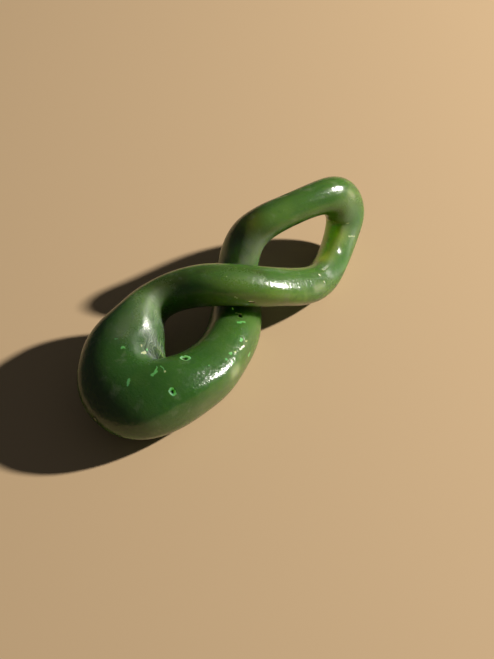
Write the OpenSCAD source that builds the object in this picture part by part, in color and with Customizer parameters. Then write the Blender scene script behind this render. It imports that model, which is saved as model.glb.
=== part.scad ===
// Jade twist pendant, lying on a table as it rests by itself: one closed strand of green stone.
// It swells into a thick lower loop, climbs over itself at the crossing, drops to a low bend,
// rises round the head of a smaller upper loop and runs back down under the crossing.

/* [Pendant] */
// Overall length, from the foot of the lower loop to the head of the upper loop
pendant_length = 58; // [46:1:70]
// Overall height above the table, up to the top band of the upper loop
pendant_height = 15; // [13:0.5:17]
// Fullness of the strand across its width, where 1 is as drawn
strand_fullness = 1; // [0.85:0.01:1.02]

/* [Hidden] */

JADE_GREEN = [0.17, 0.36, 0.13];

// Facets: rings from one station to the next, and sides of each ring
RINGS = 8;
SIDES = 28;

// Stations of the strand in the order that it runs, from the foot up the left of the lower loop.
// x, y and z place its middle. Right and left are its reach to either side of travel, and top and
// under its reach above and below. Square 2 is an ellipse, and more is boxier. Lean tips the
// section's top towards +X, where 1 is half-way over: the upper loop lies on a slant.
// The table is drawn a little under life size, and the driving sizes bring it to full size.
RIGHT = 3;
LEFT = 4;
TOP = 5;
UNDER = 6;
SQUARE = 7;
LEAN = 8;
STATIONS = [
    //  x      y     z   right left top under square lean
    [ 4.0, -19.0,  4.0,  4.4,  7.3, 5.4, 4.0, 2.3, 0],  // foot of the lower loop, thickest
    [-0.3, -18.8,  4.2,  4.9,  6.3, 5.6, 4.2, 2.4, 0],
    [-3.2, -16.0,  4.6,  5.7,  4.2, 5.5, 4.6, 2.5, 0],  // left of the lower loop
    [-4.0, -12.0,  5.6,  3.7,  2.7, 4.7, 4.2, 2.6, 0],
    [-4.4,  -9.0,  6.6,  1.8,  2.3, 3.4, 3.0, 2.4, 0],  // strand leaves the table
    [-3.3,  -6.1,  7.6,  2.3,  2.2, 2.6, 2.9, 2.2, 0],
    [-0.5,  -3.5,  8.8,  2.7,  2.8, 2.8, 2.8, 2.2, 0],
    [ 4.0,  -0.5,  9.2,  2.7,  2.7, 2.6, 2.6, 2.2, 0],  // front strand, over the crossing
    [ 7.0,   5.0,  6.2,  2.5,  2.5, 2.4, 2.4, 2.2, 0.5],
    [ 8.5,  11.0,  2.4,  2.3,  2.7, 2.4, 2.4, 2.2, 1],  // bend, back down on the table
    [ 6.5,  16.5,  2.4,  2.1,  2.0, 2.4, 2.4, 2.2, 1],
    [ 4.5,  21.4,  3.8,  2.6,  2.0, 2.5, 2.4, 2.2, 1],  // right band turns upwards
    [ 4.0,  22.2,  7.0,  3.5,  3.3, 2.5, 2.5, 2.2, 1],  // head of the upper loop
    [ 3.0,  20.5, 10.4,  2.4,  2.6, 2.4, 2.4, 2.2, 1],
    [ 1.0,  13.0, 10.8,  2.1,  2.0, 2.1, 2.1, 2.2, 1],  // top band, highest
    [-1.5,   7.0,  9.8,  2.8,  2.4, 2.4, 2.5, 2.2, 1],
    [-1.5,   5.0,  4.4,  2.8,  2.6, 2.6, 2.6, 2.2, 1],  // left strand dives
    [ 1.5,   1.5,  2.6,  3.3,  3.3, 2.5, 2.6, 2.2, 0.5],  // back strand, under the crossing
    [ 5.0,  -3.0,  3.0,  3.5,  3.5, 3.2, 3.0, 2.2, 0],
    [ 7.0,  -8.0,  3.4,  3.5,  3.4, 3.8, 3.4, 2.2, 0],  // right of the lower loop, widening
    [ 7.5, -12.0,  3.8,  3.7,  3.4, 4.6, 3.8, 2.2, 0],
    [ 7.1, -16.2,  3.9,  4.2,  3.2, 5.2, 3.9, 2.3, 0],
];
COUNT = len(STATIONS);

// Weights of four neighbouring stations, a share f of the way between the middle two:
// a closed cubic B-spline, and its slope
function weights(f) = [pow(1 - f, 3), 3 * pow(f, 3) - 6 * f * f + 4,
                       -3 * pow(f, 3) + 3 * f * f + 3 * f + 1, pow(f, 3)] / 6;
function slopes(f) = [-pow(1 - f, 2), 3 * f * f - 4 * f, -3 * f * f + 2 * f + 1, f * f] / 2;
function neighbours(i) = [for (k = [-1 : 2]) STATIONS[(i + k + COUNT) % COUNT]];
function place(row) = [row[0], row[1], row[2]];
function unit(v) = v / norm(v);

// Sine or cosine c raised to the power that squares an ellipse's corners
function squared(c, square) = sign(c) * pow(abs(c), 2 / square);

// One ring of the skin: the section stands across the line of travel, its top towards the lean
function ring(i, f) =
    let (
        row = weights(f) * neighbours(i),
        travel = unit(place(slopes(f) * neighbours(i))),
        side = unit(cross(travel, [row[LEAN], 0, 1])),
        topward = cross(side, travel)
    )
    [for (j = [0 : SIDES - 1])
        let (
            a = squared(cos(360 * j / SIDES), row[SQUARE]),
            b = squared(sin(360 * j / SIDES), row[SQUARE])
        )
        place(row)
            + side * a * strand_fullness * (a > 0 ? row[RIGHT] : row[LEFT])
            + topward * b * (b > 0 ? row[TOP] : row[UNDER])];

drawn = [for (i = [0 : COUNT - 1], k = [0 : RINGS - 1]) each ring(i, k / RINGS)];

// The drawn skin is centred, stood on the table and brought to the driving sizes
function column(points, n) = [for (p = points) p[n]];
low = [for (n = [0 : 2]) min(column(drawn, n))];
high = [for (n = [0 : 2]) max(column(drawn, n))];
middle = (low + high) / 2;
flat_scale = pendant_length / (high[1] - low[1]);
height_scale = pendant_height / (high[2] - low[2]);
skin = [for (p = drawn) [
    (p[0] - middle[0]) * flat_scale,
    (p[1] - middle[1]) * flat_scale,
    (p[2] - low[2]) * height_scale]];

// Point j of ring i, both counted round and round
function corner(i, j) = (i % (COUNT * RINGS)) * SIDES + j % SIDES;
facets = [for (i = [0 : COUNT * RINGS - 1], j = [0 : SIDES - 1]) each [
    [corner(i, j), corner(i, j + 1), corner(i + 1, j + 1)],
    [corner(i, j), corner(i + 1, j + 1), corner(i + 1, j)]]];

module pendant() {
    color(JADE_GREEN) polyhedron(points = skin, faces = facets, convexity = 8);
}

pendant();
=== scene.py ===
"""Looks of a carved jade twist pendant that lies on a pale table.

One closed strand of polished nephrite swells into a thick lower loop, crosses over itself and
goes round a slim upper loop. The strand is a closed spline with a section at every point of it,
and a crisp rim where the dome of the lower loop meets its flat outer side. On it come the
carver's marks: soft shoulders and a ridge, an uneven polish, a countersunk inner wall that the
last polish never reached, pits, chips and scratches, and then the flecks in the stone. Shade,
glow, sheen, reflections and glints are also painted into the stone's colour in places.
"""

import math

import bpy
import numpy as np
from bpy.props import FloatProperty, FloatVectorProperty, IntProperty, PointerProperty
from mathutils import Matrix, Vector


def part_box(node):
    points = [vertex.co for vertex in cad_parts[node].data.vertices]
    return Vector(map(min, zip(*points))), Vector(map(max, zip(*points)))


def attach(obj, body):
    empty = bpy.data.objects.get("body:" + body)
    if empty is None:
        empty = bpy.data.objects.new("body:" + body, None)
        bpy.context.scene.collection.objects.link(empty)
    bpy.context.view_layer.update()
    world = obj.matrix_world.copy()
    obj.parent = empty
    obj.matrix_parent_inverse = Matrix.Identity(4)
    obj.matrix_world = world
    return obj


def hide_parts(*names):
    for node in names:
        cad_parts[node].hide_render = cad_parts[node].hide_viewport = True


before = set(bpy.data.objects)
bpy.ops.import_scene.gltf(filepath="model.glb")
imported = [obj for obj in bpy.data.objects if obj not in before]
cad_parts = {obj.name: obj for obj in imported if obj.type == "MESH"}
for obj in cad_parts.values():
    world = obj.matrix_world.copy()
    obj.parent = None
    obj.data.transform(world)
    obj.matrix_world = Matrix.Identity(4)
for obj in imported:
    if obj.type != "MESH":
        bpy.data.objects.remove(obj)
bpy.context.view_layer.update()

bl_info = {
    "name": "Jade twist pendant",
    "version": (1, 1, 0),
    "blender": (4, 5, 0),
    "location": "3D View > Sidebar > Jade",
    "description": "Builds a carved jade twist pendant and the table and light that it is seen in",
    "category": "Add Mesh",
}

MM = 0.001

# Stations of the strand in the order that it runs, from the foot up the left of the lower loop,
# in the drawing's own millimetres. x, y and z place its middle. Right and left are its reach to
# either side of travel, top and under its reach above and below. Square 2 is an ellipse, and
# more is boxier. Lean tips the section's top towards +X.
STATIONS = np.array([
    # x      y     z   right left top under square lean
    [3.8, -19.1, 3.7, 4.1, 7.5, 5.3, 3.7, 2.0, 0.0],
    [-0.3, -18.8, 4.1, 4.6, 6.0, 4.9, 4.1, 2.0, 0.0],
    [-3.1, -15.8, 4.8, 6.0, 4.6, 5.2, 4.8, 2.2, 0.0],
    [-3.9, -11.9, 6.0, 4.0, 2.5, 4.7, 4.6, 2.4, 0.0],
    [-4.4, -9.0, 6.6, 1.8, 2.3, 3.4, 3.0, 2.4, 0.0],
    [-3.3, -6.1, 7.6, 2.3, 2.2, 2.6, 2.9, 2.2, 0.0],
    [-0.5, -3.5, 8.8, 2.7, 2.8, 2.8, 2.8, 2.2, 0.0],
    [4.0, -0.5, 9.2, 2.7, 2.7, 2.6, 2.6, 2.2, 0.0],
    [7.0, 5.0, 6.2, 2.5, 2.5, 2.4, 2.4, 2.2, 0.5],
    [8.5, 11.0, 2.4, 2.3, 2.7, 2.4, 2.4, 2.2, 1.0],
    [6.5, 16.5, 2.4, 2.1, 2.0, 2.4, 2.4, 2.2, 1.0],
    [4.5, 21.4, 3.8, 2.6, 2.0, 2.5, 2.4, 2.2, 1.0],
    [4.0, 22.2, 7.0, 3.5, 3.3, 2.5, 2.5, 2.2, 1.0],
    [3.0, 20.5, 10.4, 2.4, 2.6, 2.4, 2.4, 2.2, 1.0],
    [1.0, 13.0, 10.8, 2.1, 2.0, 2.1, 2.1, 2.2, 1.0],
    [-1.5, 7.0, 9.8, 2.8, 2.4, 2.4, 2.5, 2.2, 1.0],
    [-1.5, 5.0, 4.4, 2.8, 2.6, 2.6, 2.6, 2.2, 1.0],
    [1.5, 1.5, 2.6, 3.3, 3.3, 2.5, 2.6, 2.2, 0.5],
    [5.0, -3.0, 3.0, 3.6, 3.7, 3.2, 3.0, 2.2, 0.0],
    [6.9, -8.0, 3.4, 3.4, 3.3, 3.8, 3.4, 2.3, 0.0],
    [7.4, -12.2, 3.7, 3.9, 3.6, 4.3, 3.7, 2.4, 0.0],
    [6.9, -16.3, 3.9, 4.4, 3.2, 5.5, 3.9, 2.2, 0.0],
])
RIGHT, LEFT, TOP, UNDER, SQUARE, LEAN = range(3, 9)
COUNT = len(STATIONS)

# The countersunk inner wall of the lower loop: where its upper edge runs, by station, as the
# angle round the section, how deep it is cut there in millimetres, and how far it lacks polish
# from 0 to 1. Stations run on past the last one here, where they begin again.
COUNTERSINK = np.array([
    # station angle depth unpolished
    [20.9, 40.0, 0.0, 0.0],
    [21.3, 48.0, 0.10, 0.5],
    [21.8, 50.0, 0.20, 0.9],
    [22.3, 50.0, 0.28, 1.0],
    [22.7, 54.0, 0.30, 1.0],
    [23.1, 62.0, 0.32, 1.0],
    [23.6, 65.0, 0.34, 1.0],
    [24.0, 65.0, 0.32, 1.0],
    [24.4, 63.0, 0.26, 0.85],
    [24.8, 62.0, 0.14, 0.45],
    [25.3, 60.0, 0.06, 0.6],
    [25.9, 58.0, 0.0, 0.3],
])

# The soft ridge that the carver left down the right of the upper loop: the angle round the
# section that it runs at, by station, and its height in millimetres. The two widths of a ridge or
# a shoulder, in millimetres, are of its side at smaller angles and of its side at larger ones.
BAND_RIDGE = np.array([
    # station angle height
    [9.2, 128.0, 0.0],
    [9.6, 126.0, 0.10],
    [9.9, 124.0, 0.26],
    [10.3, 122.0, 0.12],
    [11.2, 124.0, 0.06],
    [12.4, 124.0, 0.0],
])
BAND_RIDGE_WIDTHS = (0.9, 0.9)

# The crisp rim round the foot and the left of the lower loop, where the dome meets its flat outer
# side: by station, 0 where the section is round and 1 where the rim is crisp, how far the flat
# side leans under in degrees, and the share of the section's reach that it is cut at. Fuller is
# how much wider the section is drawn before the cut, and rounding is the rim's in millimetres.
CRISP_RIM = np.array([
    # station crispness lean reach
    [20.9, 0.0, 45.0, 1.0],
    [21.6, 0.7, 45.0, 0.990],
    [22.2, 1.0, 36.0, 0.985],
    [22.8, 1.0, 22.0, 0.980],
    [23.4, 1.0, 8.0, 0.970],
    [24.4, 1.0, 0.0, 0.965],
    [25.2, 0.7, 0.0, 0.970],
    [26.4, 0.0, 0.0, 0.985],
])
RIM_FULLER = 1.16
RIM_ROUNDING = 0.26

# The shoulder on the right of the lower loop, where the dome turns over to its outer side
SHOULDER = np.array([
    # station angle height
    [18.7, 152.0, 0.0],
    [19.3, 151.0, 0.45],
    [20.0, 149.0, 0.75],
    [20.8, 147.0, 0.80],
    [21.3, 147.0, 0.40],
    [21.9, 150.0, 0.0],
])
SHOULDER_WIDTHS = (1.6, 3.0)

# The shoulder of the front strand, told in the same way
FRONT_SHOULDER = np.array([
    # station angle height
    [6.6, 40.0, 0.0],
    [7.2, 40.0, 0.15],
    [7.6, 40.0, 0.42],
    [8.1, 40.0, 0.55],
    [8.5, 40.0, 0.40],
    [9.0, 40.0, 0.0],
])
FRONT_SHOULDER_WIDTHS = (1.5, 1.5)

# Marks of wear: a cut from one place on the strand to another, each a station and an angle
# round the section. Width, depth and the height of the raised rim are in millimetres, and a
# depth below 0 is a rise: head_fill fills out the inner fold at the head of the upper loop.
MARKS = (
    # name          from            to              width depth  rim
    ("pit_large", (20.49, 77.0), (20.48, 79.0), 0.32, 0.45, 0.05),
    ("pit_small", (21.21, 124.0), (21.20, 127.0), 0.26, 0.35, 0.04),
    ("nick_top", (14.05, 10.0), (13.98, 20.0), 0.30, 0.16, 0.0),
    ("notch_eye", (14.02, 158.0), (14.05, 166.0), 0.28, 0.14, 0.0),
    ("chip_rim", (0.46, 175.0), (0.44, 168.0), 0.34, 0.16, 0.03),
    ("bend_crease_a", (8.70, 130.0), (8.91, 119.0), 0.20, 0.07, 0.01),
    ("bend_crease_b", (8.91, 119.0), (9.22, 116.0), 0.20, 0.08, 0.01),
    ("bend_scratch", (8.70, 109.0), (8.78, 80.0), 0.15, 0.06, 0.02),
    ("under_pit", (18.01, 99.0), (18.02, 101.0), 0.30, 0.25, 0.0),
    ("head_fill", (12.60, 197.0), (11.90, 154.0), 1.15, -0.35, 0.0),
)

# Soft areas of the stone, by the colour or the finish that they take: from one place on the
# strand to another, how far they reach in millimetres, and how strong they are. Some colours
# here are painted light: olive is mostly painted shade and deep painted shade too, lime and honey
# are painted glow, milk painted sheen and cream painted reflection. Deep painted shade is the deep
# green. Satin is less polished, apart from what is polished in it.
AREAS = (
    # name     from            to             reach strength
    # Painted shade: olive where the strand turns from the light, on the left strand of the upper
    # loop, the left end of the front strand and the left and foot of the lower loop.
    ("olive_and_painted_shade", (14.92, 345.0), (15.13, 35.0), 2.2, 0.95),
    ("olive_and_painted_shade", (14.76, 24.0), (14.90, 60.0), 1.7, 0.85),
    ("olive_and_painted_shade", (4.60, 84.0), (5.47, 76.0), 1.8, 0.75),
    ("olive_and_painted_shade", (6.05, 92.0), (7.30, 96.0), 0.9, 0.5),
    ("olive_and_painted_shade", (1.30, 140.0), (0.50, 150.0), 2.4, 0.7),
    ("olive_and_painted_shade", (0.50, 150.0), (22.10, 156.0), 2.0, 0.6),
    ("olive_and_painted_shade", (14.75, 104.0), (14.60, 112.0), 1.3, 0.5),
    # Painted shade: deep green that darkens the right side and the head of the upper loop.
    ("deep_painted_shade", (11.30, 92.0), (9.40, 90.0), 2.0, 0.9),
    ("deep_painted_shade", (12.50, 88.0), (12.10, 104.0), 1.5, 0.6),
    # Painted glow: lime where light comes through the lower half of the front strand and the inner
    # fold of the head.
    ("lime_and_painted_glow", (6.30, 12.0), (7.46, 16.0), 2.0, 1.0),
    ("lime_and_painted_glow", (7.46, 16.0), (8.13, 30.0), 1.6, 0.8),
    ("lime_and_painted_glow", (6.39, 34.0), (6.90, 50.0), 1.5, 0.5),
    ("lime_and_painted_glow", (14.48, 78.0), (14.20, 84.0), 1.5, 0.45),
    ("lime_and_painted_glow", (12.60, 196.0), (12.00, 190.0), 1.8, 0.8),
    # Painted glow: honey where light comes through the slim inside of the right side of the upper
    # loop, and light painted into the shade of its left strand.
    ("honey_painted_glow", (14.95, 10.0), (14.85, 45.0), 1.8, 0.2),
    ("honey_painted_glow", (11.00, 204.0), (10.50, 174.0), 2.0, 1.0),
    ("honey_painted_glow", (10.50, 174.0), (9.60, 170.0), 1.6, 1.0),
    # Painted sheen: milk for reflections and for the halo of highlights.
    ("milk_and_painted_sheen", (15.70, 48.0), (15.42, 74.0), 1.9, 1.0),
    ("milk_and_painted_sheen", (15.50, 78.0), (15.12, 110.0), 1.9, 1.0),
    ("milk_and_painted_sheen", (12.70, 104.0), (10.96, 84.0), 1.7, 0.2),
    ("milk_and_painted_sheen", (3.30, 72.0), (2.10, 86.0), 1.8, 0.4),
    ("milk_and_painted_sheen", (19.60, 160.0), (20.75, 170.0), 1.5, 0.15),
    ("milk_and_painted_sheen", (20.75, 170.0), (21.70, 160.0), 1.6, 0.1),
    # Painted reflections: cream twins beside the highlights.
    ("cream_painted_reflection", (19.60, 156.0), (19.45, 158.0), 0.8, 0.5),
    ("cream_painted_reflection", (12.66, 86.0), (12.50, 88.0), 0.6, 0.35),
    ("cream_painted_reflection", (8.46, 70.0), (8.70, 76.0), 0.6, 0.35),
    ("satin", (9.30, 97.0), (9.80, 96.0), 1.6, 0.9),
    ("satin", (9.80, 96.0), (11.60, 97.0), 1.8, 1.0),
    ("satin", (3.30, 46.0), (4.40, 56.0), 1.8, 0.65),
    ("satin", (0.80, 62.0), (1.85, 65.0), 1.3, 0.65),
    ("satin", (6.70, 80.0), (7.20, 76.0), 1.2, 0.22),
    ("satin", (11.70, 118.0), (12.30, 118.0), 1.3, 0.6),
    ("polished", (9.95, 116.0), (9.92, 109.0), 0.5, 1.0),
)

# Small flecks in the stone, by the colour that they take: from one place on the strand to
# another, their half width in millimetres, and the radius of a ring where they are hollow. The
# glints and the wall's two pale spots are painted highlights and reflections, and the dark ones
# are painted shade.
FLECKS = (
    # name           from             to               half   hollow colour
    ("speck_a", (21.66, 96.0), (21.55, 91.0), 0.26, 0.0, "bright"),
    ("thread_a", (21.56, 90.0), (21.54, 82.0), 0.09, 0.0, "bright"),
    ("thread_c", (21.40, 82.0), (21.30, 90.0), 0.09, 0.0, "bright"),
    ("speck_c", (21.29, 93.0), (21.29, 92.0), 0.20, 0.0, "pale"),
    ("speck_d", (0.25, 106.0), (0.20, 112.0), 0.22, 0.0, "bright"),
    ("speck_left", (1.38, 89.0), (1.38, 86.0), 0.24, 0.0, "bright"),
    ("speck_far_left", (1.74, 94.0), (1.74, 93.0), 0.14, 0.0, "bright"),
    ("pit_large_rim", (20.50, 77.0), (20.46, 79.0), 0.17, 0.50, "bright"),
    # Painted shade in the pit.
    ("pit_large_core", (20.49, 77.0), (20.48, 79.0), 0.34, 0.0, "dark"),
    ("pit_small_rim", (21.22, 124.0), (21.20, 127.0), 0.16, 0.30, "bright"),
    # Painted shade in the pit.
    ("pit_small_core", (21.20, 125.0), (21.20, 127.0), 0.20, 0.0, "dark"),
    ("tiny_right", (20.11, 112.0), (20.10, 112.0), 0.12, 0.0, "bright"),
    ("dash", (18.99, 136.0), (18.79, 140.0), 0.14, 0.0, "white"),
    ("row_1", (19.56, 125.0), (19.54, 125.0), 0.16, 0.0, "bright"),
    ("row_2", (19.32, 124.0), (19.27, 125.0), 0.20, 0.0, "bright"),
    ("row_3", (19.19, 130.0), (19.15, 131.0), 0.14, 0.0, "pale"),
    ("row_4", (18.75, 127.0), (18.71, 127.0), 0.16, 0.10, "bright"),
    ("row_5", (18.65, 137.0), (18.61, 140.0), 0.13, 0.0, "pale"),
    ("row_6", (19.51, 137.0), (19.48, 139.0), 0.20, 0.0, "bright"),
    ("row_7", (18.79, 168.0), (18.70, 168.0), 0.20, 0.0, "bright"),
    ("edge_patch", (18.27, 101.0), (18.18, 112.0), 0.22, 0.0, "bright"),
    # Painted shade in the pit.
    ("under_core", (18.01, 99.0), (18.02, 101.0), 0.30, 0.0, "dark"),
    ("under_scuff", (17.96, 90.0), (17.94, 100.0), 0.14, 0.0, "pale"),
    ("under_scratch", (17.78, 80.0), (17.84, 83.0), 0.12, 0.0, "white"),
    # Painted shade in a dark spot on the front strand.
    ("front_dark", (7.08, 358.0), (7.19, 359.0), 0.16, 0.0, "dark"),
    ("front_dash", (7.08, 1.0), (7.16, 2.0), 0.10, 0.0, "white"),
    ("front_speck", (6.79, 15.0), (6.84, 10.0), 0.10, 0.0, "pale"),
    ("front_top_speck", (6.62, 74.0), (6.62, 74.0), 0.12, 0.0, "pale"),
    # Painted glints on the nick, the scratch and the crease.
    ("nick_glint", (14.05, 12.0), (13.98, 22.0), 0.16, 0.0, "pale"),
    ("scratch_glint", (8.70, 109.0), (8.78, 81.0), 0.09, 0.0, "white"),
    ("crease_glint", (8.95, 118.0), (9.20, 116.0), 0.08, 0.0, "pale"),
    ("band_mark_1", (11.36, 119.0), (11.42, 112.0), 0.11, 0.0, "pale"),
    ("band_mark_2", (10.56, 92.0), (10.70, 70.0), 0.10, 0.0, "pale"),
    # Painted reflections: two pale spots on the wall.
    ("wall_painted_reflection_1", (1.56, 61.0), (1.52, 61.0), 0.20, 0.0, "pale"),
    ("wall_painted_reflection_2", (0.99, 62.0), (1.06, 55.0), 0.24, 0.0, "pale"),
    ("wall_green", (1.32, 52.0), (1.31, 50.0), 0.16, 0.0, "bright"),
    ("rim_chip", (0.45, 170.0), (0.42, 168.0), 0.24, 0.0, "pale"),
)

# Share by which the grid's points stand closer at the foot and on the upper side than on average
CROWDING = 0.25

# Ways past the upper edge of the countersunk wall, in millimetres: where the cut begins and is
# full, where the lack of polish does, and where both fade out down the wall
CUT_RAMP = (-0.9, 2.8)
DULL_RAMP = (-1.6, 2.0)
FADE_RAMP = (5.0, 8.0)

# Unevenness of hand polishing: its waves, the seed that draws them, their shortest and longest
# length and their height, both in millimetres
POLISH_WAVES = 14
POLISH_SEED = 5
POLISH_LENGTHS = (4, 11)
POLISH_HEIGHT = 0.03

# A mark's raised rim stands this many widths from its middle and spreads over this many
MARK_RIM_AT = 1.7
MARK_RIM_SPREAD = 0.5

# Mean reach of the section, in millimetres, up to which the strand is slim and from which thick
SLIM_TO_THICK = (2.8, 5.8)

# Noises in the stone and its finish: the width of their blobs in millimetres, how many finer
# layers they have, how rough those are, and how far they are warped
NOISES = {
    "clouds": {"size": 7.0, "detail": 3.0, "roughness": 0.6},
    "wisps": {"size": 2.2, "detail": 4.0, "roughness": 0.62, "warp": 0.3},
    "grains": {"size": 0.45, "detail": 2.0},
    "ragged edge": {"size": 1.1, "detail": 3.0},
    "tool waver": {"size": 1.8, "detail": 1.0},
    "fleck shake": {"size": 0.4, "detail": 2.0},
    "scratches": {"size": 0.16, "detail": 2.0, "roughness": 0.7},
    "ripples": {"size": 0.45, "detail": 3.0, "roughness": 0.6},
    "dents": {"size": 0.9, "detail": 2.0},
    "haze": {"size": 0.30, "detail": 2.0, "roughness": 0.7},
    "uneven polish": {"size": 3.0},
}
NOISE_MIDDLE = 0.5

# Width of the carver's tool marks in millimetres, and how far they waver and the flecks shake
TOOL_MARK_WIDTH = 0.5
TOOL_WAVER = 4.0
FLECK_SHAKE = 0.5

# Where each mask begins and where it is full
WALL_RAMP = (0.15, 1.05)
MID_GREEN_RAMP = (0.32, 0.72)
AREA_RAMP = (0.45, 0.95)
WISP_RAMP = (0.52, 0.80)
GRAIN_RAMP = (0.60, 0.85)
TOOL_MARK_RAMP = (0.42, 0.66)
HAZE_RAMP = (0.30, 0.70)
# A fleck's edge, as shares of its half width: nothing from the first on, full up to the second
FLECK_EDGE = (1.15, 0.55)

# How strongly each comes into the colour: raggedness of the wall's edge, lighter green on the slim
# strand, milk in the wisps, lime in the grains, and grey on the wall
WALL_RAGGED = 0.7
SLIM_LIGHTER = 0.3
WISP_MILK = 0.4
GRAIN_LIME = 0.18
WALL_SHARE = 0.85

# Heights in the finish, as shares of the polish depth, and the last two on the wall alone
SCRATCH_HEIGHT = 0.25
RIPPLE_HEIGHT = 0.8
DENT_HEIGHT = 0.6
TOOL_MARK_HEIGHT = 2.2
WALL_SCRATCH_HEIGHT = 1.6

# What comes on top of the polish's roughness
UNEVEN_ROUGHER = 0.08
WALL_ROUGHER = 0.42
SATIN_ROUGHER = 0.85

# Nephrite bends light by this index, and lets red, green and blue through to these shares of the
# glow depth
NEPHRITE_INDEX = 1.61
NEPHRITE_GLOW = (0.6, 1.0, 0.15)

# The stage. The key light's sizes are in metres.
TABLE_ROUGHNESS = 0.75
TABLE_SPECULAR = 0.2
TABLE_HALF_WIDTH = 1500.0  # millimetres
KEY_DISTANCE = 0.7
KEY_DIAMETER = 0.036
KEY_COLOUR = (1.0, 0.95, 0.88)
SKY_COLOUR = (0.95, 0.97, 1.0, 1)
SENSOR_WIDTH = 36.0  # millimetres
CAMERA_CLIP = (0.01, 20.0)  # metres


def spline(table, stations):
    """Rows of the table at fractional stations, and their slopes.

    A closed cubic B-spline: each value is the mean of the four stations around it, with the
    weights (1-f)^3, 3f^3-6f^2+4, -3f^3+3f^2+3f+1 and f^3, all over 6.
    """
    start = np.floor(stations).astype(int)
    f = (stations - start)[:, None]
    rows = [table[(start + k) % len(table)] for k in (-1, 0, 1, 2)]
    weights = ((1 - f) ** 3, 3 * f**3 - 6 * f**2 + 4, -3 * f**3 + 3 * f**2 + 3 * f + 1, f**3)
    slopes = (-((1 - f) ** 2), 3 * f**2 - 4 * f, -3 * f**2 + 2 * f + 1, f**2)
    value = sum(w * row for w, row in zip(weights, rows)) / 6
    slope = sum(s * row for s, row in zip(slopes, rows)) / 2
    return value, slope


def unit(vectors):
    """The same directions at length 1."""
    return vectors / np.linalg.norm(vectors, axis=-1, keepdims=True)


def crisp_rim(left, above, row, stations):
    """The outer half of the section, brought to a crisp rim where the table asks for it.

    Its reach to the left grows to RIM_FULLER times as much, less where the flat side leans under,
    and the flat side cuts it. What is beyond the flat side by d goes back by the soft ramp
    r * log(1 + exp(d / r)), where r is the rim's rounding.
    """
    station = np.where(stations < CRISP_RIM[0, 0] - 1, stations + COUNT, stations)
    crisp, lean, share = (np.interp(station, CRISP_RIM[:, 0], CRISP_RIM[:, column])[:, None]
                          for column in (1, 2, 3))
    cosine, sine = np.cos(np.radians(lean)), np.sin(np.radians(lean))
    fuller = left * (1 + (RIM_FULLER - 1) * crisp * cosine**3)
    limit = share * np.hypot(row[:, LEFT, None] * cosine, row[:, UNDER, None] * sine)
    beyond = (fuller * cosine - above * sine - limit) / RIM_ROUNDING
    back = crisp * RIM_ROUNDING * np.logaddexp(0, beyond)
    return fuller - back * cosine, above + back * sine


def drawn_skin(stations, angles, crisp=True):
    """Points of the strand, in the drawing's millimetres, for a grid of stations and angles.

    centre + side * a * (right or left) + top * b * (top or under), where a and b are the cosine
    and sine of the angle, raised to 2 / square with their signs kept. Side is across travel and
    the lean, and top is across side and travel. Its rim is made crisp unless that is turned off.
    """
    row, slope = spline(STATIONS, stations)
    travel = unit(slope[:, :3])
    lean = np.stack([row[:, LEAN], np.zeros(len(row)), np.ones(len(row))], 1)
    side = unit(np.cross(travel, lean))
    topward = np.cross(side, travel)
    power = 2 / row[:, SQUARE, None]
    cosine, sine = np.cos(angles)[None], np.sin(angles)[None]
    a = np.sign(cosine) * np.abs(cosine) ** power
    b = np.sign(sine) * np.abs(sine) ** power
    across = a * np.where(a > 0, row[:, RIGHT, None], row[:, LEFT, None])
    above = b * np.where(b > 0, row[:, TOP, None], row[:, UNDER, None])
    if crisp:
        left, cut_above = crisp_rim(-across, above, row, stations)
        across, above = np.where(a < 0, -left, across), np.where(a < 0, cut_above, above)
    return row[:, None, :3] + side[:, None] * across[..., None] + topward[:, None] * above[..., None]


class Strand:
    """The strand's grid of points in the frame's millimetres, fitted to the CAD node's box.

    Rings crowd together at the thick lower loop, and the points of a ring on its upper side,
    where the fine marks are. At a share w of the way round, the station is
    COUNT * (w - CROWDING * sin(2 pi w) / 2 pi), and at a turn t the angle is t + CROWDING * cos(t).
    The scale and the shift are the plain strand's, before its rim is made crisp.
    """

    def __init__(self, rings_per_station, sides):
        self.rings, self.sides = COUNT * rings_per_station, sides
        way = np.arange(self.rings) / self.rings
        turn = np.arange(sides) * 2 * math.pi / sides
        self.stations = COUNT * (way - CROWDING * np.sin(2 * math.pi * way) / (2 * math.pi))
        self.angles = turn + CROWDING * np.cos(turn)
        plain = drawn_skin(self.stations, self.angles, crisp=False)
        low, high = plain.min((0, 1)), plain.max((0, 1))
        box_low, box_high = (np.array(corner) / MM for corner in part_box("pendant"))
        self.scale = (box_high - box_low) / (high - low)
        self.shift = box_low - low * self.scale
        self.points = drawn_skin(self.stations, self.angles) * self.scale + self.shift
        self.normals = grid_normals(self.points)

    def at(self, place):
        """The point of the strand, before its relief, at a station and an angle in degrees."""
        station, angle = place
        drawn = drawn_skin(np.array([station]), np.radians([angle]))
        return drawn[0, 0] * self.scale + self.shift

    def girth(self):
        """Mean reach of the section at each ring: small in the slim loop, large at the foot."""
        row, _ = spline(STATIONS, self.stations)
        return row[:, RIGHT : UNDER + 1].mean(1) * self.scale[0]

    def across(self, stations, angles):
        """How far each point is from a line along the strand, in millimetres round the section.

        The line runs at the given angles at the given stations. Points at smaller angles than
        the line's, towards the hole of the lower loop, count as positive.
        """
        station = np.where(self.stations < stations[0] - 1, self.stations + COUNT, self.stations)
        line = np.interp(station, stations, angles)[:, None]
        angle = np.degrees(self.angles)[None] % 360
        angle = np.where(angle > line + 180, angle - 360, angle)
        return station, np.radians(line - angle) * self.girth()[:, None]


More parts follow.
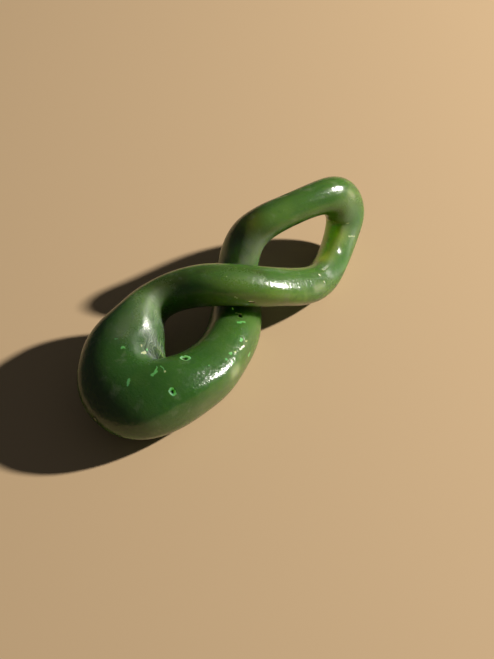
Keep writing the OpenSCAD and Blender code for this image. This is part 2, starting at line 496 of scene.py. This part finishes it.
def grid_normals(points):
    """Outward normals of a closed grid: across the steps along the strand and round the section."""
    along = np.roll(points, -1, 0) - np.roll(points, 1, 0)
    around = np.roll(points, -1, 1) - np.roll(points, 1, 1)
    return unit(np.cross(along, around))


def segment_distance(points, start, end):
    """Distance from every point to the straight line between two points, ends included."""
    line = end - start
    share = np.clip((points - start) @ line / (line @ line), 0, 1)
    return np.linalg.norm(points - start - share[..., None] * line, axis=-1)


def smooth_step(x, low, high):
    """0 below low, 1 above high, and 3t^2 - 2t^3 between."""
    t = np.clip((x - low) / (high - low), 0, 1)
    return t * t * (3 - 2 * t)


def hand_polish(points):
    """Slight unevenness of hand polishing: a sum of sine waves in random directions.

    Each wave is sin(2 pi * (point along its direction) / length + start), and the sum is
    multiplied by POLISH_HEIGHT / sqrt(POLISH_WAVES).
    """
    dice = np.random.default_rng(POLISH_SEED)
    total = np.zeros(points.shape[:-1])
    for _ in range(POLISH_WAVES):
        direction = unit(dice.normal(size=3))
        length = dice.uniform(*POLISH_LENGTHS)
        total += np.sin(points @ direction * 2 * math.pi / length + dice.uniform(0, 2 * math.pi))
    return total * POLISH_HEIGHT / math.sqrt(POLISH_WAVES)


def countersink(strand):
    """The inner wall: how far each point is cut back, how dull it is, and the way past the edge.

    Across the edge, towards the hole, the cut deepens smoothly over CUT_RAMP, and it fades out
    again down the wall over FADE_RAMP. The dullness does the same over DULL_RAMP.
    """
    station, past = strand.across(COUNTERSINK[:, 0], COUNTERSINK[:, 1])
    depth, dull = (
        np.interp(station, COUNTERSINK[:, 0], COUNTERSINK[:, column], left=0, right=0)[:, None]
        for column in (2, 3))
    fade = 1 - smooth_step(past, *FADE_RAMP)
    cut = depth * smooth_step(past, *CUT_RAMP) * fade
    return cut, smooth_step(past, *DULL_RAMP) * fade * dull, past


def ridge(strand, table, widths):
    """Height of a soft ridge: h * exp(-(past / width)^2) round the section, with h by station."""
    station, past = strand.across(table[:, 0], table[:, 1])
    height = np.interp(station, table[:, 0], table[:, 2], left=0, right=0)[:, None]
    return height * np.exp(-((past / np.where(past > 0, *widths)) ** 2))


def wear(strand):
    """Height of all the marks: each is a bell-shaped groove with a bell-shaped rim beside it.

    At a distance d from the mark's line, of width w, the groove is -depth * exp(-(d / w)^2), and
    the rim is rim * exp(-((d - MARK_RIM_AT w) / (MARK_RIM_SPREAD w))^2).
    """
    height = np.zeros(strand.points.shape[:-1])
    for _, start, end, width, depth, rim in MARKS:
        away = segment_distance(strand.points, strand.at(start), strand.at(end))
        height -= depth * np.exp(-((away / width) ** 2))
        beside = (away - MARK_RIM_AT * width) / (MARK_RIM_SPREAD * width)
        height += rim * np.exp(-(beside**2))
    return height


def areas(strand):
    """How strongly each point takes each colour or finish, from 0 to 1, by its name.

    Areas of one name join as 1 - (1 - a)(1 - b), and each fades as exp(-(distance / reach)^2).
    """
    left_out = {}
    for name, start, end, reach, strength in AREAS:
        away = segment_distance(strand.points, strand.at(start), strand.at(end))
        share = 1 - strength * np.exp(-((away / reach) ** 2))
        left_out[name] = left_out.get(name, 1) * share
    return {name: 1 - share for name, share in left_out.items()}


def new_piece(name, points, faces, material, attributes):
    """A mesh object at the origin, with its points in millimetres and its face corners by index."""
    mesh = bpy.data.meshes.new(name)
    mesh.vertices.add(len(points))
    mesh.vertices.foreach_set("co", (points * MM).astype(np.float32).ravel())
    mesh.loops.add(faces.size)
    mesh.loops.foreach_set("vertex_index", faces.astype(np.int32).ravel())
    mesh.polygons.add(len(faces))
    mesh.polygons.foreach_set("loop_start", np.arange(len(faces), dtype=np.int32) * faces.shape[1])
    mesh.polygons.foreach_set("use_smooth", np.ones(len(faces), bool))
    mesh.update(calc_edges=True)
    for key, values in attributes.items():
        kind, field = ("FLOAT_VECTOR", "vector") if values.ndim == 3 else ("FLOAT", "value")
        mesh.attributes.new(key, kind, "POINT").data.foreach_set(
            field, values.astype(np.float32).ravel())
    mesh.validate()
    mesh.materials.append(material)
    piece = bpy.data.objects.new(name, mesh)
    bpy.context.scene.collection.objects.link(piece)
    return piece


def closed_grid_faces(rings, sides):
    """Four-cornered faces of a grid that closes both ways. Their corners run so that they face
    inwards, against the outward normals.
    """
    ring, side = np.meshgrid(np.arange(rings), np.arange(sides), indexing="ij")
    after, beside = (ring + 1) % rings, (side + 1) % sides
    corners = (ring * sides + side, ring * sides + beside,
               after * sides + beside, after * sides + side)
    return np.stack(corners, -1).reshape(-1, 4)


class Value:
    """A number or vector socket that Python's operators work on: each one adds a Math node."""

    def __init__(self, paint, socket):
        self.paint = paint
        self.socket = socket

    def math(self, operation, *others, clamp=False):
        """One Math node with this value first."""
        return self.paint.node("ShaderNodeMath", {"operation": operation, "use_clamp": clamp},
                               dict(enumerate((self, *others))))

    def clamped(self):
        """The same value, kept between 0 and 1."""
        return self.math("ADD", 0.0, clamp=True)

    def vector(self, operation, *others, out="Vector", **sockets):
        """One Vector Math node with this value first."""
        return self.paint.node("ShaderNodeVectorMath", {"operation": operation},
                               {**dict(enumerate((self, *others))), **sockets}, out=out)

    def __add__(self, other):
        return self.math("ADD", other)

    def __sub__(self, other):
        return self.math("SUBTRACT", other)

    def __rsub__(self, other):
        return self.paint.node("ShaderNodeMath", {"operation": "SUBTRACT"}, {0: other, 1: self})

    def __mul__(self, other):
        return self.math("MULTIPLY", other)

    __radd__ = __add__
    __rmul__ = __mul__


class Paint:
    """A material's node tree, with one method that adds any node."""

    def __init__(self, name):
        self.material = bpy.data.materials.new(name)
        self.material.use_nodes = True
        self.tree = self.material.node_tree
        self.tree.nodes.clear()

    def node(self, kind, settings=None, sockets=None, out=0):
        """Adds a node. Its settings come first, then the value or link of each socket by key."""
        node = self.tree.nodes.new(kind)
        for key, value in (settings or {}).items():
            setattr(node, key, value)
        for key, value in (sockets or {}).items():
            if isinstance(value, Value):
                self.tree.links.new(value.socket, node.inputs[key])
            else:
                node.inputs[key].default_value = value
        return Value(self, node.outputs[out]) if len(node.outputs) else node

    def place(self):
        """The point being shaded, in millimetres of the piece's own space."""
        return self.node("ShaderNodeTexCoord", out="Object").vector("SCALE", Scale=1 / MM)

    def noise(self, where, size, detail=2.0, roughness=0.5, out="Fac", warp=0.0):
        """Noise whose blobs are about that many millimetres wide, from 0 to 1."""
        return self.node("ShaderNodeTexNoise", sockets={
            "Vector": where, "Scale": 1 / size, "Detail": detail,
            "Roughness": roughness, "Distortion": warp}, out=out)

    def lines(self, value, size):
        """Noise along one value only, which draws lines where that value is equal."""
        return self.node("ShaderNodeTexNoise", {"noise_dimensions": "1D"}, {
            "W": value, "Scale": 1 / size, "Detail": 3.0, "Roughness": 0.6})

    def step(self, value, low, high):
        """0 at low and 1 at high, smooth between. High may be the smaller one."""
        return self.node("ShaderNodeMapRange", {"interpolation_type": "SMOOTHSTEP"},
                         {"Value": value, "From Min": low, "From Max": high})

    def mix(self, share, first, second):
        """Colours mixed: the first at share 0, the second at share 1."""
        first, second = (c if isinstance(c, Value) else (*c, 1) for c in (first, second))
        return self.node("ShaderNodeMix", {"data_type": "RGBA"},
                         {0: share, 6: first, 7: second}, out=2)

    def attribute(self, name, out="Fac"):
        """An attribute of the mesh, as a number or as a vector."""
        return self.node("ShaderNodeAttribute", {"attribute_name": name}, out=out)

    def line_distance(self, where, start, end):
        """Distance in millimetres from the straight line between two fixed points, ends included.

        With p from the line's start, it is |p - s * line|, where s is p . line / line . line, kept
        between 0 and 1.
        """
        line = end - start
        from_start = where.vector("SUBTRACT", tuple(start))
        share = from_start.vector("DOT_PRODUCT", tuple(line / (line @ line)), out="Value").clamped()
        along = self.node("ShaderNodeCombineXYZ", sockets={axis: share for axis in "XYZ"})
        return from_start.vector("DISTANCE", along.vector("MULTIPLY", tuple(line)), out="Value")

    def surface(self, sockets):
        """Ends the tree in a Principled BSDF with those sockets."""
        shader = self.node("ShaderNodeBsdfPrincipled", sockets=sockets)
        self.node("ShaderNodeOutputMaterial", sockets={"Surface": shader})
        return self.material


def jade_material(settings, strand):
    """Polished nephrite: deep green with lighter clouds and flecks, and an unpolished inner wall.

    The body's greens come first, then each area's colour over them, of which some is painted
    shade, glow, sheen and reflection, then the wisps, the grains and the grey of the wall, with
    painted glints on its tool marks, and last the flecks, among them painted glints and shade,
    which are measured on the skin before its relief.
    """
    paint = Paint("Polished_nephrite")
    where = paint.place()
    clouds, wisps, grains = (
        paint.noise(where, **NOISES[name]) for name in ("clouds", "wisps", "grains"))
    ragged = (paint.noise(where, **NOISES["ragged edge"]) - NOISE_MIDDLE) * WALL_RAGGED
    wall = paint.step(paint.attribute("wall") + ragged, *WALL_RAMP)
    past_edge = paint.attribute("past_edge") + paint.noise(where, **NOISES["tool waver"]) * TOOL_WAVER
    tool_marks = paint.lines(past_edge, TOOL_MARK_WIDTH)
    satin = paint.attribute("satin") * (1 - paint.attribute("polished"))

    lighter = clouds + paint.attribute("slim") * SLIM_LIGHTER - SLIM_LIGHTER / 2
    body = paint.mix(paint.step(lighter, *MID_GREEN_RAMP), settings.deep_green, settings.mid_green)
    area_colours = {"olive_and_painted_shade": settings.olive_and_painted_shade, "deep_painted_shade": settings.deep_green, "lime_and_painted_glow": settings.lime_and_painted_glow,
                    "milk_and_painted_sheen": settings.milk_and_painted_sheen, "honey_painted_glow": settings.honey_painted_glow, "cream_painted_reflection": settings.pale_fleck_and_painted_glint}
    patchy = paint.step(wisps + clouds, *AREA_RAMP)
    for name, colour in area_colours.items():
        body = paint.mix((paint.attribute(name) * patchy).clamped(), body, colour)
    body = paint.mix(paint.step(wisps, *WISP_RAMP) * WISP_MILK, body, settings.milk_and_painted_sheen)
    body = paint.mix(paint.step(grains, *GRAIN_RAMP) * GRAIN_LIME, body, settings.lime_and_painted_glow)
    # The grey where the tool marks catch light is painted glint on the unpolished wall.
    wall_colour = paint.mix(
        paint.step(tool_marks, *TOOL_MARK_RAMP), settings.wall_dark, settings.wall_grey)
    body = paint.mix(wall * WALL_SHARE, body, wall_colour)

    shake = paint.noise(where, **NOISES["fleck shake"], out="Color")
    shake = shake.vector("SUBTRACT", (NOISE_MIDDLE,) * 3).vector("SCALE", Scale=FLECK_SHAKE)
    shaken = paint.attribute("plain", out="Vector").vector("ADD", shake)
    colours = {"bright": settings.fleck_green, "pale": settings.pale_fleck_and_painted_glint,
               "white": settings.white_scratch_and_painted_glint, "dark": settings.dark_painted_shade}
    pitted = 0.0
    for _, start, end, half, hollow, colour in FLECKS:
        away = paint.line_distance(shaken, strand.at(start), strand.at(end))
        if hollow:
            pitted = paint.step(away, hollow + half, hollow) + pitted
            away = (away - hollow).math("ABSOLUTE")
        share = paint.step(away, *(half * edge for edge in FLECK_EDGE))
        body = paint.mix(share, body, colours[colour])

    scratches = paint.noise(where, **NOISES["scratches"])
    height = scratches * SCRATCH_HEIGHT + paint.noise(where, **NOISES["ripples"]) * RIPPLE_HEIGHT
    height = height + paint.noise(where, **NOISES["dents"]) * DENT_HEIGHT
    height = height + (tool_marks * TOOL_MARK_HEIGHT + scratches * WALL_SCRATCH_HEIGHT) * wall
    bump = paint.node("ShaderNodeBump", sockets={
        "Strength": 1.0, "Distance": settings.polish_depth, "Height": height})
    haze = paint.step(paint.noise(where, **NOISES["haze"]), *HAZE_RAMP) * settings.polish_haze
    uneven = (paint.noise(where, **NOISES["uneven polish"]) - NOISE_MIDDLE) * UNEVEN_ROUGHER
    roughness = settings.polish_roughness + uneven + haze
    roughness = roughness + wall * WALL_ROUGHER + satin * SATIN_ROUGHER + pitted
    return paint.surface({
        "Base Color": body,
        "Roughness": roughness,
        "Normal": bump,
        "IOR": NEPHRITE_INDEX,
        "Subsurface Weight": 1.0,
        "Subsurface Radius": NEPHRITE_GLOW,
        "Subsurface Scale": settings.glow_depth,
    })


def table_material(settings):
    """Plain pale table top, nearly matt."""
    paint = Paint("Pale_table")
    return paint.surface({
        "Base Color": (*settings.table_colour, 1),
        "Roughness": TABLE_ROUGHNESS,
        "Specular IOR Level": TABLE_SPECULAR,
    })


class JadeStone(bpy.types.PropertyGroup):
    """Colours and finish of the stone, and how finely its surface is worked out."""

    deep_green: FloatVectorProperty(
        name="Deep green", description="The stone where it is thick", subtype="COLOR",
        size=3, min=0, max=1, default=(0.034, 0.106, 0.016))
    mid_green: FloatVectorProperty(
        name="Mid green", description="The stone where it is slim", subtype="COLOR",
        size=3, min=0, max=1, default=(0.064, 0.140, 0.026))
    # Olive is mostly painted shade, and in places the stone's own dark olive.
    olive_and_painted_shade: FloatVectorProperty(
        name="Olive", description="Dark areas of the stone", subtype="COLOR",
        size=3, min=0, max=1, default=(0.052, 0.066, 0.010))
    # Lime is the stone's own yellow-green in its grains, and painted glow where light comes through
    # the slim strand.
    lime_and_painted_glow: FloatVectorProperty(
        name="Lime", description="Yellow-green areas of the stone", subtype="COLOR",
        size=3, min=0, max=1, default=(0.150, 0.250, 0.048))
    # Honey is painted glow: yellow light coming through the slim stone, and light painted into shade.
    honey_painted_glow: FloatVectorProperty(
        name="Honey", description="Where the slim stone glows yellow", subtype="COLOR",
        size=3, min=0, max=1, default=(0.480, 0.540, 0.045))
    # Milk is the stone's own milky cloud in the wisps, and painted sheen where it is laid on as an
    # area.
    milk_and_painted_sheen: FloatVectorProperty(
        name="Milk", description="Milky clouds in the stone", subtype="COLOR",
        size=3, min=0, max=1, default=(0.220, 0.260, 0.160))
    # Wall grey is painted glint where the tool marks catch light.
    wall_grey: FloatVectorProperty(
        name="Wall grey", description="The unpolished inner wall, where tool marks catch light",
        subtype="COLOR", size=3, min=0, max=1, default=(0.200, 0.250, 0.180))
    wall_dark: FloatVectorProperty(
        name="Wall dark", description="The unpolished inner wall, between its tool marks",
        subtype="COLOR", size=3, min=0, max=1, default=(0.030, 0.052, 0.028))
    fleck_green: FloatVectorProperty(
        name="Fleck green", description="Bright flecks", subtype="COLOR",
        size=3, min=0, max=1, default=(0.140, 0.420, 0.130))
    # Pale flecks and chips, and also painted glints and painted reflections beside the highlights.
    pale_fleck_and_painted_glint: FloatVectorProperty(
        name="Fleck pale", description="Pale flecks and chips", subtype="COLOR",
        size=3, min=0, max=1, default=(0.420, 0.460, 0.260))
    # White of fresh scratches, and also a painted glint on the bend's scratch.
    white_scratch_and_painted_glint: FloatVectorProperty(
        name="Fleck white", description="Fresh scratches", subtype="COLOR",
        size=3, min=0, max=1, default=(0.800, 0.850, 0.750))
    # Near-black painted shade inside the pits and in a dark spot on the front strand.
    dark_painted_shade: FloatVectorProperty(
        name="Fleck dark", description="The inside of pits", subtype="COLOR",
        size=3, min=0, max=1, default=(0.002, 0.006, 0.002))
    polish_roughness: FloatProperty(
        name="Polish roughness", description="Roughness of the polished surface",
        subtype="FACTOR", min=0, max=1, default=0.12)
    polish_haze: FloatProperty(
        name="Polish haze", description="How much rougher the haze of fine scratches makes it",
        subtype="FACTOR", min=0, max=1, default=0.14)
    polish_depth: FloatProperty(
        name="Polish depth", description="Depth of what the polish leaves uneven",
        unit="LENGTH", precision=6, min=0, max=0.001, default=0.04 * MM)
    glow_depth: FloatProperty(
        name="Glow depth", description="How far light spreads in the stone",
        unit="LENGTH", precision=4, min=0, max=0.02, default=8.0 * MM)
    rings: IntProperty(
        name="Rings", description="Rings of points from one station to the next",
        min=4, max=30, default=29)
    sides: IntProperty(
        name="Sides", description="Points round each ring", min=24, max=156, default=152)


class TableStage(bpy.types.PropertyGroup):
    """The table, its light and the camera."""

    table_colour: FloatVectorProperty(
        name="Table colour", description="Colour of the table top", subtype="COLOR",
        size=3, min=0, max=1, default=(0.60, 0.430, 0.252))
    key_azimuth: FloatProperty(
        name="Key azimuth", description="Direction of the main light, from +X towards +Y",
        subtype="ANGLE", default=math.radians(54))
    key_elevation: FloatProperty(
        name="Key elevation", description="Height of the main light above the table",
        subtype="ANGLE", default=math.radians(28))
    key_power: FloatProperty(
        name="Key power", description="Power of the main light", unit="POWER", min=0, default=9.0)
    fill_strength: FloatProperty(
        name="Fill strength", description="Strength of the light from all round",
        min=0, default=0.055)
    camera_azimuth: FloatProperty(
        name="Camera azimuth", description="0 looks along +Y, and 90 along -X",
        subtype="ANGLE", default=math.radians(40))
    camera_elevation: FloatProperty(
        name="Camera elevation", description="Height of the camera's line above the table",
        subtype="ANGLE", default=math.radians(50))
    camera_distance: FloatProperty(
        name="Camera distance", description="From the aim to the camera", unit="LENGTH",
        min=0.01, default=0.1722)
    camera_aim: FloatVectorProperty(
        name="Camera aim", description="The point of the table at the middle of the view",
        subtype="TRANSLATION", unit="LENGTH", size=3, default=(0.00281, 0.00057, 0.0))
    camera_lens: FloatProperty(
        name="Camera lens", description="Focal length for a sensor that is 36 mm wide",
        unit="CAMERA", min=1, default=60.09)


def towards(azimuth, elevation):
    """Direction of a light: (cos a cos e, sin a cos e, sin e) at azimuth a and elevation e."""
    return Vector((math.cos(azimuth) * math.cos(elevation),
                   math.sin(azimuth) * math.cos(elevation), math.sin(elevation)))


class JADE_OT_carve_pendant(bpy.types.Operator):
    """Carve the closed strand of jade and give it its polish and marks"""

    bl_idname = "jade.carve_pendant"
    bl_label = "Carve the pendant"

    def execute(self, context):
        settings = context.scene.jade_stone
        strand = Strand(settings.rings, settings.sides)
        cut, wall, past = countersink(strand)
        relief = hand_polish(strand.points) + wear(strand) - cut
        relief += ridge(strand, BAND_RIDGE, BAND_RIDGE_WIDTHS)
        relief += ridge(strand, SHOULDER, SHOULDER_WIDTHS)
        relief += ridge(strand, FRONT_SHOULDER, FRONT_SHOULDER_WIDTHS)
        carved = strand.points + strand.normals * relief[..., None]
        slim = 1 - smooth_step(strand.girth(), *SLIM_TO_THICK)
        piece = new_piece(
            "carved_strand", carved.reshape(-1, 3), closed_grid_faces(strand.rings, strand.sides),
            jade_material(settings, strand),
            {"slim": np.repeat(slim, strand.sides), "wall": wall, "past_edge": past,
             "plain": strand.points, **areas(strand)})
        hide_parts("pendant")
        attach(piece, "root")
        return {"FINISHED"}


class JADE_OT_set_stage(bpy.types.Operator):
    """Lay the table, and set the lights and the camera"""

    bl_idname = "jade.set_stage"
    bl_label = "Set the stage"

    def execute(self, context):
        settings = context.scene.jade_stage
        corners = np.array([[-1, -1, 0], [1, -1, 0], [1, 1, 0], [-1, 1, 0]]) * TABLE_HALF_WIDTH
        table = new_piece(
            "table", corners, np.array([[0, 1, 2, 3]]), table_material(settings), {})
        self.key_light(context, settings)
        world = bpy.data.worlds.new("Soft_studio")
        world.use_nodes = True
        background = world.node_tree.nodes["Background"]
        background.inputs["Color"].default_value = SKY_COLOUR
        background.inputs["Strength"].default_value = settings.fill_strength
        context.scene.world = world
        context.scene.view_settings.view_transform = "Standard"
        self.camera(context, settings)
        return {"FINISHED"}

    @staticmethod
    def key_light(context, settings):
        """A small round lamp that faces the middle of the table from its azimuth and elevation."""
        direction = towards(settings.key_azimuth, settings.key_elevation)
        data = bpy.data.lights.new("key", "AREA")
        data.shape, data.size = "DISK", KEY_DIAMETER
        data.energy, data.color = settings.key_power, KEY_COLOUR
        lamp = bpy.data.objects.new("key", data)
        lamp.location = direction * KEY_DISTANCE
        lamp.rotation_mode = "QUATERNION"
        lamp.rotation_quaternion = direction.to_track_quat("Z", "Y")
        context.scene.collection.objects.link(lamp)

    @staticmethod
    def camera(context, settings):
        """A camera that looks at its aim from its azimuth, elevation and distance."""
        azimuth, elevation = settings.camera_azimuth, settings.camera_elevation
        back = Vector((math.sin(azimuth) * math.cos(elevation),
                       -math.cos(azimuth) * math.cos(elevation), math.sin(elevation)))
        data = bpy.data.cameras.new("camera")
        data.sensor_width = SENSOR_WIDTH
        data.lens = settings.camera_lens
        data.clip_start, data.clip_end = CAMERA_CLIP
        camera = bpy.data.objects.new("camera", data)
        camera.rotation_mode = "QUATERNION"
        camera.location = Vector(settings.camera_aim) + back * settings.camera_distance
        camera.rotation_quaternion = back.to_track_quat("Z", "Y")
        context.scene.collection.objects.link(camera)
        context.scene.camera = camera


class JADE_PT_panel(bpy.types.Panel):
    """Jade pendant"""

    bl_idname = "JADE_PT_panel"
    bl_label = "Jade pendant"
    bl_space_type = "VIEW_3D"
    bl_region_type = "UI"
    bl_category = "Jade"

    def draw(self, context):
        for group, operator in (
            (context.scene.jade_stone, JADE_OT_carve_pendant),
            (context.scene.jade_stage, JADE_OT_set_stage),
        ):
            box = self.layout.box()
            for name in group.__annotations__:
                box.prop(group, name)
            box.operator(operator.bl_idname)


CLASSES = (JadeStone, TableStage, JADE_OT_carve_pendant, JADE_OT_set_stage, JADE_PT_panel)


def register():
    for item in CLASSES:
        bpy.utils.register_class(item)
    bpy.types.Scene.jade_stone = PointerProperty(type=JadeStone)
    bpy.types.Scene.jade_stage = PointerProperty(type=TableStage)


def unregister():
    del bpy.types.Scene.jade_stage
    del bpy.types.Scene.jade_stone
    for item in reversed(CLASSES):
        bpy.utils.unregister_class(item)


def main():
    register()
    bpy.ops.jade.carve_pendant()
    bpy.ops.jade.set_stage()
    bpy.context.view_layer.update()


if __name__ == "__main__":
    main()
